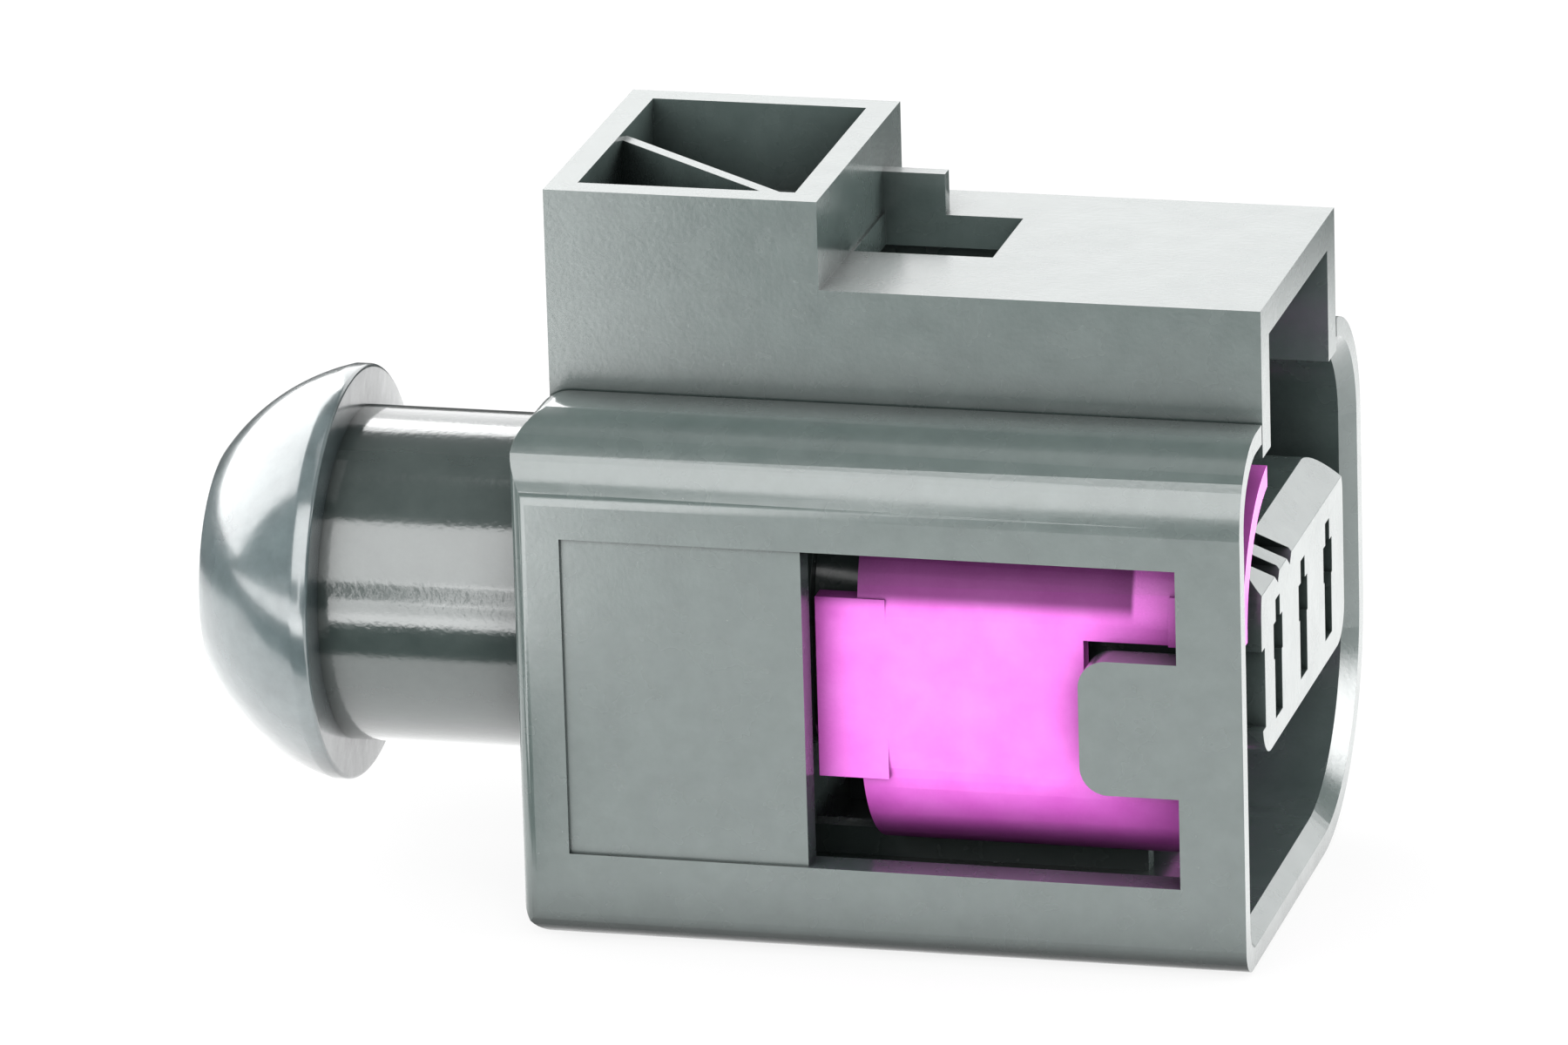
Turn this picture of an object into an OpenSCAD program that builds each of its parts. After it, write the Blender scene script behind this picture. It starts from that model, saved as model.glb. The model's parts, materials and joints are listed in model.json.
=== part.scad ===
// Sealed three-way plug: a keyed hood on a rear block with a round neck, a rocker latch, a
// sliding secondary lock, and a contact carrier with its contacts and seals.
// The mating direction is +X, Z is up. The origin lies on the underside, below the mating axis
// at the middle of the body's length. -Y is the flat side and +Y the round side.

/* [Body] */
// Length of the body from its rear face to the mouth
body_l = 26; // [25.6:0.1:31]
// Width of the body from the flat side to the round side
body_w = 20.4; // [20:0.1:25]
// Height of the body from the underside to the shoulders
body_h = 19; // [18.6:0.1:22.6]
// Height of the mating axis
axis_z = 9.7; // [9.4:0.05:9.9]
// Radius of the flat side's top corner
flat_top_r = 3; // [2:0.1:3.6]
// Radius of the flat side's bottom corner
flat_bottom_r = 1; // [0.6:0.1:2]
// Radius of the round side's top corner
round_top_r = 4.6; // [3.5:0.1:5.2]
// Radius of the round side's bottom corner
round_bottom_r = 7.4; // [5:0.1:7.6]
// Rounding of the rear face's top and bottom edges
rear_edge_r = 1.4; // [0.4:0.1:1.6]
// Rounding of the rear face's side edges
rear_side_r = 0.6; // [0.4:0.1:1.6]

/* [Hood] */
// Wall of the hood
hood_wall = 1.25; // [1:0.05:1.4]
// Depth of the mouth
mouth_depth = 17.2; // [17:0.1:18]
// Strip of hood in front of the side windows
window_front = 2.3; // [2:0.05:2.8]
// Length of the side windows
window_l = 13.3; // [12.6:0.1:13.8]
// Height of the flat side's window above the underside
window_foot = 3.2; // [2.6:0.1:5]
// Height of the flat side's window
window_h = 11.6; // [9:0.1:12]
// Strip of hood in front of the round side's window
far_window_front = 5; // [4.6:0.1:5.2]
// Height of the round side's window
far_window_h = 7.6; // [6.5:0.1:8]
// Length of the retaining tongues
tongue_l = 3.5; // [2.8:0.1:3.8]
// Height of the retaining tongues
tongue_h = 4.9; // [4:0.1:5.4]
// Drop of the tongues' middle below the mating axis
tongue_drop = 0.75; // [0:0.05:1]
// Rounding of the tongues' tips
tongue_r = 1; // [0.4:0.1:1.4]
// Length of the hook on the inside of each tongue
hook_l = 1.3; // [0.8:0.1:2]
// Depth of the plain panel behind the flat side's window
panel_recess = 0.15; // [0.05:0.01:0.3]
// Distance of that panel's rear edge from the rear face
panel_inset = 1.8; // [1.7:0.1:4]
// Width of the two ribs that the lock slides on
guide_w = 0.8; // [0.5:0.1:1.2]

/* [Neck] */
// Radius of the neck
neck_r = 6; // [5.8:0.05:6.4]
// Length of the neck
neck_l = 8.3; // [6:0.1:12]
// Wall of the neck
neck_wall = 1.3; // [1.2:0.05:1.5]

/* [Wire exit cap] */
// Radius of the cap's rim
cap_r = 7.45; // [6.8:0.05:8.5]
// Length of the cap outside the neck
cap_l = 4.9; // [4:0.1:6]
// Width of the straight land on the cap's rim
cap_land = 0.55; // [0.3:0.05:0.8]
// Radius of the cap's flat nose
nose_r = 4.4; // [4.1:0.05:4.8]
// Rounding of the nose's edge
nose_round = 0.6; // [0.3:0.05:0.8]
// Radius of the cap's bore
cap_bore_r = 3.5; // [2.5:0.05:3.6]
// Length of the cap's stem inside the neck
stem_l = 3.2; // [2:0.1:5]
// Inner radius of the stem
stem_bore_r = 3.8; // [3.7:0.05:4]

/* [Latch] */
// Set-back of the latch's rear wall from the body's rear face
latch_set_back = 0.55; // [0.4:0.05:0.7]
// Width of the rocker latch
latch_w = 12.4; // [12:0.1:12.6]
// Height of the latch plate above the shoulders
plate_rise = 4.05; // [3.4:0.05:5.3]
// Thickness of the latch plate
plate_t = 1.2; // [0.8:0.05:1.4]
// Wall of the latch's legs
leg_wall = 1.3; // [1.1:0.05:1.4]
// Length of the thumb box
box_l = 9.8; // [9:0.1:10.8]
// Height of the thumb box above the plate
box_rise = 3.2; // [2.5:0.1:4.8]
// Wall of the thumb box
box_wall = 1.0; // [0.7:0.05:1.2]
// Thickness of the rib across the thumb box
rib_t = 0.45; // [0.3:0.05:0.8]
// Part of the box's width that the rib crosses
rib_reach = 0.62; // [0.5:0.01:0.8]
// Width of the catch window
catch_w = 4.7; // [3.4:0.1:5]
// Distance of the catch window's middle from the latch's middle
catch_shift = 0.85; // [0:0.05:1.4]
// Distance of the catch window from the thumb box
catch_gap = 0.1; // [0:0.1:1.5]
// Length of the catch window
catch_l = 5; // [3.5:0.1:6]
// Width of the gusset in front of the thumb box
gusset_w = 0.6; // [0.4:0.05:1]
// Height of the gusset
gusset_h = 1.5; // [0.8:0.1:2]
// Length of the gusset
gusset_l = 2.3; // [1:0.1:2.5]
// Distance from the hood's floor back to the latch's pivot
pivot_back = 2; // [1.8:0.05:3]
// Drop of the pivot below the shoulders
pivot_drop = 2.3; // [2.1:0.05:2.5]
// Radius of the pivot stubs
stub_r = 0.8; // [0.6:0.05:0.9]
// Length of the pivot stubs
stub_l = 1.8; // [1.2:0.1:2]
// Height of the latch's rear skirt below the shoulders
skirt_drop = 3.1; // [2.8:0.1:3.3]
// Room below the rear skirt in which the latch rocks
rock_room = 1; // [0.9:0.05:1.1]

/* [Secondary lock] */
// Gap between the lock sleeve and the hood's sides
lock_side_gap = 0.4; // [0.3:0.05:0.5]
// Gap between the lock sleeve and the hood's roof
lock_top_gap = 0.85; // [0.7:0.05:1.2]
// Gap between the lock sleeve and the hood's floor
lock_foot_gap = 1.15; // [0.9:0.05:1.4]
// Corner radius of the lock sleeve
lock_r = 5.2; // [4.8:0.1:5.4]
// Wall of the lock sleeve
lock_wall = 0.75; // [0.65:0.05:0.85]
// Set-back of the sleeve's front edge from the mouth
lock_front = 0.3; // [0.2:0.1:0.6]
// Set-back of the strip's lower arm from the sleeve's front edge
lock_low_back = 1.4; // [1:0.1:1.8]
// Set-back of the sleeve's floor and round side from its front edge
lock_cut_back = 4.7; // [4:0.1:4.8]
// Width of the strip on the flat side that keeps the full length
lock_keep_w = 4.4; // [3.6:0.1:4.4]
// Length of the sleeve without its rear tails
lock_l = 13.7; // [13:0.1:13.8]
// Length of the rear tails
tail_l = 1.5; // [1:0.05:1.5]
// Height of the rear tails
tail_h = 6.6; // [5:0.1:7]
// Drop of the tails' middle below the mating axis
tail_drop = 0.35; // [0:0.05:0.6]
// Width of the gap in the sleeve's top
lock_gap = 8.4; // [8.2:0.1:8.8]
// Length of the raised pads at the sleeve's front
pad_l = 2.6; // [2:0.1:3]
// Height of the raised pads above the sleeve's wall
pad_rise = 0.2; // [0.15:0.05:0.25]
// Set-back of the pads from the sleeve's front edge
pad_back = 0.3; // [0.2:0.05:0.6]

/* [Contacts] */
// Pitch of the contacts
pitch = 4.2; // [4:0.05:4.3]
// Drop of the contacts below the mating axis
contact_drop = 0.35; // [0.3:0.05:0.4]
// Height of a mating tab's slot
tab_slot_h = 3.2; // [3:0.05:3.2]
// Width of a mating tab's slot
tab_slot_w = 1.15; // [0.9:0.05:1.3]
// Height of the service slot above the tab slot
service_h = 1.1; // [0.9:0.05:1.4]
// Width of the service slot
service_w = 0.7; // [0.5:0.05:0.9]
// Depth of the service slot
service_depth = 1.1; // [0.6:0.05:1.2]
// Width of the step between the two slots
step_w = 1.45; // [1.3:0.05:1.6]
// Height of that step
step_h = 0.3; // [0.2:0.05:0.6]
// Width of a contact's box
contact_w = 1.9; // [1.6:0.05:2]
// Height of a contact's box
contact_h = 3.4; // [3.2:0.05:3.5]
// Length of a contact's box
contact_l = 9.5; // [8:0.1:10]
// Sheet thickness of the contacts
sheet_t = 0.25; // [0.15:0.01:0.3]
// Sheet thickness of the over-springs
spring_t = 0.1; // [0.08:0.01:0.14]
// Length of the over-springs
spring_l = 7; // [6:0.1:7.5]
// Rise of the over-springs' lances
lance_rise = 0.8; // [0.5:0.05:0.9]
// Length of the lances
lance_l = 2.8; // [2:0.1:3]
// Width of the strip that carries the crimps
strip_w = 0.8; // [0.6:0.05:1]
// Radius of the wire seals' bores
seal_bore_r = 1.45; // [1.35:0.01:1.5]
// Radius of the wire that the seals take
wire_r = 0.7; // [0.5:0.05:0.8]

/* [Carrier] */
// Gap between the carrier's sides and the lock sleeve
shroud_side_gap = 0.9; // [0.8:0.05:1.1]
// Gap between the carrier's top and the lock sleeve
shroud_top_gap = 2.15; // [2:0.05:2.3]
// Gap between the carrier's lower face and the lock sleeve
shroud_foot_gap = 3.75; // [3.6:0.05:3.85]
// Corner radius of the carrier's top
carrier_top_r = 1.8; // [1:0.1:2.2]
// Corner radius of the carrier's bottom
carrier_bottom_r = 1.3; // [0.8:0.1:1.6]
// Bevel along the top of the carrier's face
face_bevel = 1.1; // [0.7:0.1:1.3]
// Wall in front of the contacts
front_wall = 1.5; // [1.4:0.1:1.8]
// Width of the two coding slots in the face
code_w = 0.6; // [0.4:0.05:0.7]
// Length of the two coding slots
code_l = 2.6; // [2:0.1:2.8]
// Slant of the two coding slots in degrees
code_tilt = 36; // [20:1:45]
// Distance of the first coding slot from the flat side
code_side = 0.9; // [0.7:0.1:1.2]
// Distance between the two coding slots
code_step = 2; // [1.6:0.1:2.2]
// Depth of the two coding slots
code_depth = 1.2; // [0.6:0.1:1.3]
// Depth of the groove in the carrier's flat-side flank
flank_depth = 0.5; // [0.3:0.05:0.6]
// Distance of that groove from the carrier's lower face
flank_foot = 1.1; // [0.8:0.1:1.4]
// Height of that groove
flank_h = 2.9; // [2:0.1:3.1]
// Thickness of the rear flange
flange_t = 1.3; // [1:0.1:1.4]
// Reach of the rear flange beyond the front block
flange_reach = 0.6; // [0.4:0.05:0.65]
// Length of the rear plug in the body's socket
plug_l = 7.2; // [6:0.1:7.4]
// Height of the rear plug
plug_h = 5; // [4.6:0.1:5.2]
// Depth of the interface seal's groove
groove_depth = 0.5; // [0.4:0.05:0.55]
// Length of the interface seal
seal_l = 4; // [3:0.1:5]
// Height of the interface seal's lips above the carrier
lip_rise = 0.45; // [0.3:0.05:0.5]
// Distance from the flange to the interface seal
seal_back = 2; // [1:0.1:3]

/* [Clearances] */
// Gap between the latch and the slot's cheeks
slot_gap = 0.12; // [0.08:0.01:0.2]
// Radial clearance of the pivot stubs
stub_gap = 0.05; // [0.02:0.01:0.08]
// Gap between the lock's notch and the tongue's tip
notch_gap_x = 0.15; // [0.1:0.05:0.3]
// Gap above and below the tongue in the lock's notch
notch_gap_z = 0.15; // [0.1:0.05:0.3]
// Gap between the lock and the ribs it slides on
guide_gap = 0.1; // [0.05:0.01:0.2]
// Clearance of the carrier's plug in its socket
plug_gap = 0.03; // [0.02:0.01:0.08]
// Clearance of the cap's stem in the neck
stem_gap = 0.02; // [0.01:0.01:0.06]
// Radial clearance of the wire seals and of the interface seal
seal_gap = 0.02; // [0.01:0.01:0.04]
// Clearance round the contacts in their cavities
cavity_gap = 0.05; // [0.03:0.01:0.1]

/* [Hidden] */
$fn = 64;
over = 1;                                // how far a cutter runs past the face it opens
merge = 0.3;                             // how deep one form of a moulding is sunk in the next
tongue_ease = 0.4;                       // how far the round side's window runs below its tongue
end_gap = 0.1;                           // between the contacts' boxes and the front wall
crimp_room = 3;                          // how far the wide cavities run past the boxes
lance_back = 3;                          // from the box's front to the root of its lance
lance_room = 0.2;                        // round the lance in its pocket
spring_back = 1;                         // from the box's front to its over-spring
seal_neck_t = 0.3;                       // wall of a wire seal's neck
seal_core_t = 0.5;                       // wall of a wire seal between its ribs
seal_step = 0.2;                         // from a contact's wings to its seal's first rib
crimp_lip = 0.3;                         // how far the open crimps rise past their middle
housing_black = [0.30, 0.32, 0.315];
cap_black = [0.22, 0.25, 0.26];
lock_pink = [0.93, 0.30, 0.86];
seal_black = [0.09, 0.09, 0.09];
tin = [0.78, 0.78, 0.76];
steel = [0.62, 0.63, 0.65];

// body
front_x = body_l / 2;
rear_x = -body_l / 2;
floor_x = front_x - mouth_depth;         // the floor of the mouth
side_y = body_w / 2;

// latch
leg_out = latch_w / 2;
leg_in = leg_out - leg_wall;
plate_top = body_h + plate_rise;
plate_under = plate_top - plate_t;
box_top = plate_top + box_rise;
latch_rear_x = rear_x + latch_set_back;
box_front_x = latch_rear_x + box_l;
catch_x = box_front_x + catch_gap;
leg_foot = body_h - hood_wall;           // level with the hood's inner roof
skirt_foot = body_h - skirt_drop;
skirt_front_x = floor_x - guide_gap;
slot_floor = skirt_foot - rock_room;
cheek_y = leg_out + slot_gap;
pivot_x = floor_x - pivot_back;
pivot_z = body_h - pivot_drop;

// side windows
window_x = front_x - window_front;       // their front edge, from which the tongues reach back
window_back_x = window_x - window_l;
far_window_x = front_x - far_window_front;
tongue_tip = window_x - tongue_l;
far_tongue_tip = far_window_x - tongue_l;
tongue_z = axis_z - tongue_drop;
far_window_foot = tongue_z - tongue_h / 2 - tongue_ease;

// lock
lock_side = side_y - hood_wall - lock_side_gap;
lock_top = body_h - hood_wall - lock_top_gap;
lock_foot = hood_wall + lock_foot_gap;
lock_front_x = front_x - lock_front;
lock_back_x = lock_front_x - lock_l;
lock_cut_x = lock_front_x - lock_cut_back;
lock_low_x = lock_front_x - lock_low_back;
notch_x = tongue_tip - notch_gap_x;
far_notch_x = far_tongue_tip - notch_gap_x;
notch_h = tongue_h + 2 * notch_gap_z;

// carrier and contacts
carrier_side = lock_side - lock_wall - shroud_side_gap;
carrier_top = lock_top - lock_wall - shroud_top_gap;
carrier_foot = lock_foot + lock_wall + shroud_foot_gap;
groove_x = floor_x + flange_t + seal_back;
contact_z = axis_z - contact_drop;
cavity_w = contact_w + 2 * (spring_t + cavity_gap);
cavity_h = contact_h + 2 * (spring_t + cavity_gap);
box_x = front_x - front_wall - end_gap;  // the front of the contacts' boxes
crimp_x = box_x - contact_l;             // where the box ends and the crimps begin
cavity_end = crimp_x - crimp_room;
neck_crimp_r = wire_r + seal_neck_t;     // radius of a wire seal's neck in its crimp
crimp_gap = 0.8;
crimp_l = 2.4;
wing_l = 1.8;
wing_x = crimp_x - 2 * crimp_gap - crimp_l;
wing_t = 0.2;
lance_x = box_x - lance_back;            // where the lance leaves the over-spring
rib_l = 1.1;                             // the wire seal's ribs
rib_step = 1.75;
rib_count = 3;
seal_x = wing_x - wing_l - seal_step;    // where the wire seal's ribs begin

// ---------- shared shapes ----------

// Carries a (Y, Z) outline along X from x0, for the length l
module along_x(x0, l) {
    translate([x0, 0, 0]) rotate([90, 0, 90]) linear_extrude(l) children();
}

// Carries an (X, Z) outline along Y from y0, for the length l
module along_y(y0, l) {
    translate([0, y0 + l, 0]) rotate([90, 0, 0]) linear_extrude(l) children();
}

// A cylinder along X from x0, on the axis at height z
module rod_x(x0, z, r, l) {
    translate([x0, 0, z]) rotate([0, 90, 0]) cylinder(r = r, h = l);
}

// Draws its children on both sides of the middle plane
module both_sides() {
    children();
    mirror([0, 1, 0]) children();
}

// What a round of radius r takes off a corner at (a, b); sa and sb point into the shape
module corner_cut(a, b, sa, sb, r) {
    translate([a, b]) mirror([sa < 0 ? 1 : 0, 0]) mirror([0, sb < 0 ? 1 : 0])
        difference() {
            translate([-over, -over]) square(r + over);
            translate([r, r]) circle(r);
        }
}

// A rectangle from (a0, b0) to (a1, b1) with its own radius at each corner
module rounded(a0, b0, a1, b1, r00, r10, r01, r11) {
    difference() {
        translate([a0, b0]) square([a1 - a0, b1 - b0]);
        if (r00 > 0) corner_cut(a0, b0, 1, 1, r00);
        if (r10 > 0) corner_cut(a1, b0, -1, 1, r10);
        if (r01 > 0) corner_cut(a0, b1, 1, -1, r01);
        if (r11 > 0) corner_cut(a1, b1, -1, -1, r11);
    }
}

// The keyed section of the body, drawn in by inset
module keyed_section(inset = 0) {
    rounded(-side_y + inset, inset, side_y - inset, body_h - inset,
            max(flat_bottom_r - inset, 0.3), round_bottom_r - inset,
            flat_top_r - inset, round_top_r - inset);
}

// The sleeve's section, drawn in by inset
module sleeve_section(inset = 0) {
    r = lock_r - inset;
    rounded(-lock_side + inset, lock_foot + inset, lock_side - inset, lock_top - inset, r, r, r, r);
}

// The carrier's section, grown outwards by grow
module carrier_section(grow = 0) {
    top_r = carrier_top_r + grow;
    bottom_r = carrier_bottom_r + grow;
    rounded(-carrier_side - grow, carrier_foot - grow, carrier_side + grow, carrier_top + grow,
            bottom_r, bottom_r, top_r, top_r);
}

// ---------- housing ----------

// The block before it is cut: the keyed section, with the edges of its rear face rounded
module body_block() {
    r = rear_edge_r;
    intersection() {
        along_x(rear_x, body_l) keyed_section();
        along_y(-body_w, 2 * body_w) rounded(rear_x, 0, front_x + over, body_h, r, 0, r, 0);
        translate([0, 0, -over]) linear_extrude(body_h + 2 * over)
            rounded(rear_x, -side_y, front_x + over, side_y, rear_side_r, 0, rear_side_r, 0);
    }
}

// Slot for the latch: through the hood's roof, and as a channel along the rear block
module latch_slot() {
    translate([floor_x, -cheek_y, leg_foot - over]) cube([mouth_depth + over, 2 * cheek_y, body_h]);
    translate([rear_x - over, -cheek_y, slot_floor]) cube([body_l, 2 * cheek_y, body_h]);
    translate([pivot_x, 0, pivot_z]) rotate([90, 0, 0])
        cylinder(r = stub_r + stub_gap, h = 2 * (leg_out + stub_l + slot_gap), center = true);
}

// A window in one side of the hood, less the tongue that stands back from its front edge at x
module side_window(x, foot, h) {
    difference() {
        translate([window_back_x, -side_y - over, foot])
            cube([x - window_back_x, hood_wall + 2 * over, h]);
        along_y(-side_y - 2 * over, hood_wall + 4 * over)
            rounded(x - tongue_l, tongue_z - tongue_h / 2, x + over, tongue_z + tongue_h / 2,
                    tongue_r, 0, tongue_r, 0);
    }
}

// The hook on the inside of a tongue with its tip at x, which reaches into the lock's notch
module tongue_hook(x) {
    reach_y = side_y - hood_wall / 2;
    seat_y = lock_side - lock_wall / 2;
    translate([x, -reach_y, tongue_z - tongue_h / 2 + tongue_r])
        cube([hook_l, reach_y - seat_y, tongue_h - 2 * tongue_r]);
}

// The ribs on the hood's floor that carry the sliding lock
module guide_ribs() {
    for (y = [-lock_side / 3, lock_side / 3])
        translate([floor_x - merge, y - guide_w / 2, hood_wall - merge])
            cube([lock_cut_x - floor_x + merge, guide_w, lock_foot_gap - guide_gap + merge]);
}

module housing() {
    bore_l = neck_l + body_l - mouth_depth - plug_l;
    socket_y = carrier_side + plug_gap;
    socket_h = plug_h + 2 * plug_gap;
    color(housing_black) union() {
        difference() {
            union() {
                difference() {
                    body_block();
                    latch_slot();
                }
                rod_x(rear_x - neck_l, axis_z, neck_r, neck_l + latch_set_back / 2);
            }
            along_x(floor_x, mouth_depth + over) keyed_section(hood_wall);
            side_window(window_x, window_foot, window_h);
            mirror([0, 1, 0]) side_window(far_window_x, far_window_foot, far_window_h);
            translate([floor_x - plug_l - plug_gap, -socket_y, contact_z - socket_h / 2])
                cube([plug_l + over, 2 * socket_y, socket_h]);
            rod_x(rear_x - neck_l - over, axis_z, neck_r - neck_wall, bore_l + over + merge);
            translate([rear_x + panel_inset, -side_y - over, window_foot])
                cube([window_back_x - rear_x - panel_inset + over, over + panel_recess, window_h]);
        }
        tongue_hook(tongue_tip);
        mirror([0, 1, 0]) tongue_hook(far_tongue_tip);
        guide_ribs();
    }
}

// ---------- wire exit cap ----------

// A domed head on a hollow stem. The dome is a sphere through the rim's land and the nose.
module wire_exit_cap() {
    rim_less_nose = pow(cap_r, 2) + pow(cap_land, 2) - pow(nose_r, 2) - pow(cap_l, 2);
    sphere_back = rim_less_nose / (2 * (cap_l - cap_land));
    sphere_r = norm([cap_r, cap_land + sphere_back]);
    round_y = cap_l - nose_round;
    round_r = sqrt(pow(sphere_r - nose_round, 2) - pow(round_y + sphere_back, 2));
    touch_y = (round_y + sphere_back) * sphere_r / (sphere_r - nose_round) - sphere_back;
    color(cap_black) translate([rear_x - neck_l, 0, axis_z]) rotate([0, -90, 0]) difference() {
        rotate_extrude() {
            intersection() {
                square([cap_r, touch_y]);
                translate([0, -sphere_back]) circle(sphere_r);
            }
            square([round_r, cap_l]);
            intersection() {
                translate([round_r, round_y]) circle(nose_round);
                square([sphere_r, cap_l]);
            }
            translate([0, -stem_l]) square([neck_r - neck_wall - stem_gap, stem_l + merge]);
        }
        translate([0, 0, -stem_l - over]) cylinder(r = cap_bore_r, h = stem_l + cap_l + 2 * over);
        translate([0, 0, -stem_l - over]) cylinder(r = stem_bore_r, h = stem_l + over);
    }
}

// ---------- contact carrier ----------

// A tab slot and the shallow service slot above it, with the step between them
module face_opening() {
    slot_top = contact_z + tab_slot_h / 2;
    translate([front_x - front_wall - over, -tab_slot_w / 2, contact_z - tab_slot_h / 2])
        cube([front_wall + 2 * over, tab_slot_w, tab_slot_h]);
    translate([front_x - service_depth, -step_w / 2, slot_top - over])
        cube([service_depth + over, step_w, step_h + over]);
    translate([front_x - service_depth, -service_w / 2, slot_top - merge])
        cube([service_depth + over, service_w, service_h + merge]);
}

// The cavity of one contact, its lance's pocket and the bore of its wire seal
module contact_cavity() {
    translate([cavity_end, -cavity_w / 2, contact_z - cavity_h / 2])
        cube([front_x - front_wall - cavity_end, cavity_w, cavity_h]);
    translate([lance_x - lance_l - lance_room, -contact_w / 4 - lance_room, contact_z])
        cube([lance_l + 2 * lance_room, contact_w / 2 + 2 * lance_room,
              contact_h / 2 + spring_t + lance_rise + lance_room]);
    rod_x(floor_x - plug_l - over, contact_z, seal_bore_r,
          crimp_x - crimp_gap / 2 - floor_x + plug_l + over);
}

// The two slanted coding slots at the flat side of the face
module coding_slots() {
    for (y = [code_side, code_side + code_step])
        translate([front_x - code_depth, y - carrier_side, carrier_top + merge]) rotate([-code_tilt, 0, 0])
            translate([0, 0, -code_w / 2]) cube([code_depth + over, code_l, code_w]);
}

module contact_carrier() {
    color(housing_black) difference() {
        union() {
            along_x(floor_x, mouth_depth) carrier_section();
            along_x(floor_x, flange_t) carrier_section(flange_reach);
            along_x(floor_x - plug_l, plug_l + merge)
                translate([-carrier_side, contact_z - plug_h / 2]) square([2 * carrier_side, plug_h]);
        }
        difference() {
            along_x(groove_x, seal_l) carrier_section(over);
            along_x(groove_x - over, seal_l + 2 * over) carrier_section(-groove_depth);
        }
        along_y(-body_w, 2 * body_w)
            polygon([[front_x - face_bevel, carrier_top], [front_x, carrier_top - face_bevel],
                     [front_x + over, carrier_top - face_bevel], [front_x + over, carrier_top + over],
                     [front_x - face_bevel, carrier_top + over]]);
        translate([groove_x + seal_l + over, -carrier_side - over, carrier_foot + flank_foot])
            cube([mouth_depth, over + flank_depth, flank_h]);
        coding_slots();
        for (i = [-1:1]) translate([0, i * pitch, 0]) {
            face_opening();
            contact_cavity();
        }
    }
}

// Ribbed ring on the carrier that seals against the mating shroud
module interface_seal() {
    lips = 3;
    lip_l = seal_l / (2 * lips - 1);
    color(seal_black) difference() {
        union() {
            along_x(groove_x, seal_l) carrier_section(lip_rise / 3);
            for (i = [0:lips - 1])
                along_x(groove_x + 2 * i * lip_l, lip_l) carrier_section(lip_rise);
        }
        along_x(groove_x - over, seal_l + 2 * over) carrier_section(seal_gap - groove_depth);
    }
}

// ---------- secondary lock ----------

// A sleeve open along its top, with a notch for each tongue, tails at the rear and raised
// pads above and below the notches
module secondary_lock() {
    wall_y = lock_side - lock_wall;
    pad_h = (lock_top - lock_foot) / 2;
    color(lock_pink) difference() {
        union() {
            along_x(lock_back_x, lock_l) sleeve_section();
            both_sides() translate([lock_back_x - tail_l, wall_y, axis_z - tail_drop - tail_h / 2])
                cube([tail_l + over, lock_wall, tail_h]);
            along_x(lock_front_x - pad_l, pad_l - pad_back) intersection() {
                sleeve_section(-pad_rise);
                translate([-body_w, (lock_top + lock_foot - pad_h) / 2]) square([2 * body_w, pad_h]);
            }
        }
        along_x(lock_back_x - over, lock_l + 2 * over) sleeve_section(lock_wall);
        translate([lock_back_x - over, -lock_gap / 2, axis_z])
            cube([lock_l + 2 * over, lock_gap, body_h]);
        translate([notch_x, -body_w, tongue_z - notch_h / 2]) cube([lock_l, body_w, notch_h]);
        translate([far_notch_x, 0, tongue_z - notch_h / 2]) cube([lock_l, body_w, notch_h]);
        translate([lock_low_x, -body_w, 0]) cube([lock_l, 2 * body_w, tongue_z]);
        translate([lock_cut_x, lock_keep_w - lock_side, 0]) cube([lock_l, body_w, body_h]);
    }
}

// ---------- rocker latch ----------

// Inverted U over the body's whole length with the thumb box on its rear half
module latch_shell() {
    difference() {
        union() {
            translate([latch_rear_x, -leg_out, leg_foot])
                cube([front_x - latch_rear_x, latch_w, plate_top - leg_foot]);
            translate([latch_rear_x, -leg_out, skirt_foot])
                cube([skirt_front_x - latch_rear_x, latch_w, body_h - skirt_foot]);
            translate([latch_rear_x, -leg_out, body_h]) cube([box_l, latch_w, box_top - body_h]);
        }
        translate([latch_rear_x + box_wall, -leg_in, skirt_foot - over])
            cube([body_l, 2 * leg_in, plate_under - skirt_foot + over]);
        translate([latch_rear_x + box_wall, -leg_out + box_wall, plate_top])
            cube([box_l - 2 * box_wall, latch_w - 2 * box_wall, box_rise + over]);
    }
}

// Rib across the thumb box, from its rear wall to its front corner on the flat side
module thumb_rib() {
    run_x = box_l - 2 * box_wall;
    run_y = (latch_w - 2 * box_wall) * rib_reach;
    translate([box_front_x - box_wall, -leg_out + box_wall, plate_top - merge])
        rotate([0, 0, 180 - atan2(run_y, run_x)]) translate([-merge, -rib_t / 2, 0])
            cube([norm([run_x, run_y]) + 2 * merge, rib_t, box_rise]);
}

// The thin gusset that stiffens the thumb box's front, along the catch window's far edge
module gusset() {
    translate([box_front_x - merge, catch_shift + catch_w / 2, plate_top - merge])
        cube([gusset_l + merge, gusset_w, gusset_h + merge]);
}

module latch_lever() {
    color(housing_black) difference() {
        union() {
            latch_shell();
            thumb_rib();
            gusset();
            both_sides() translate([pivot_x, leg_in, pivot_z]) rotate([-90, 0, 0])
                cylinder(r = stub_r, h = leg_wall + stub_l);
        }
        translate([catch_x, catch_shift - catch_w / 2, plate_under - over])
            cube([catch_l, catch_w, plate_t + 2 * over]);
    }
}

// ---------- contacts ----------

// Half of a tube along X: a crimp before it is closed
module crimp_shell(x0, r, t, l) {
    difference() {
        rod_x(x0, contact_z, r + t, l);
        rod_x(x0 - over, contact_z, r, l + 2 * over);
    }
}

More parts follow.
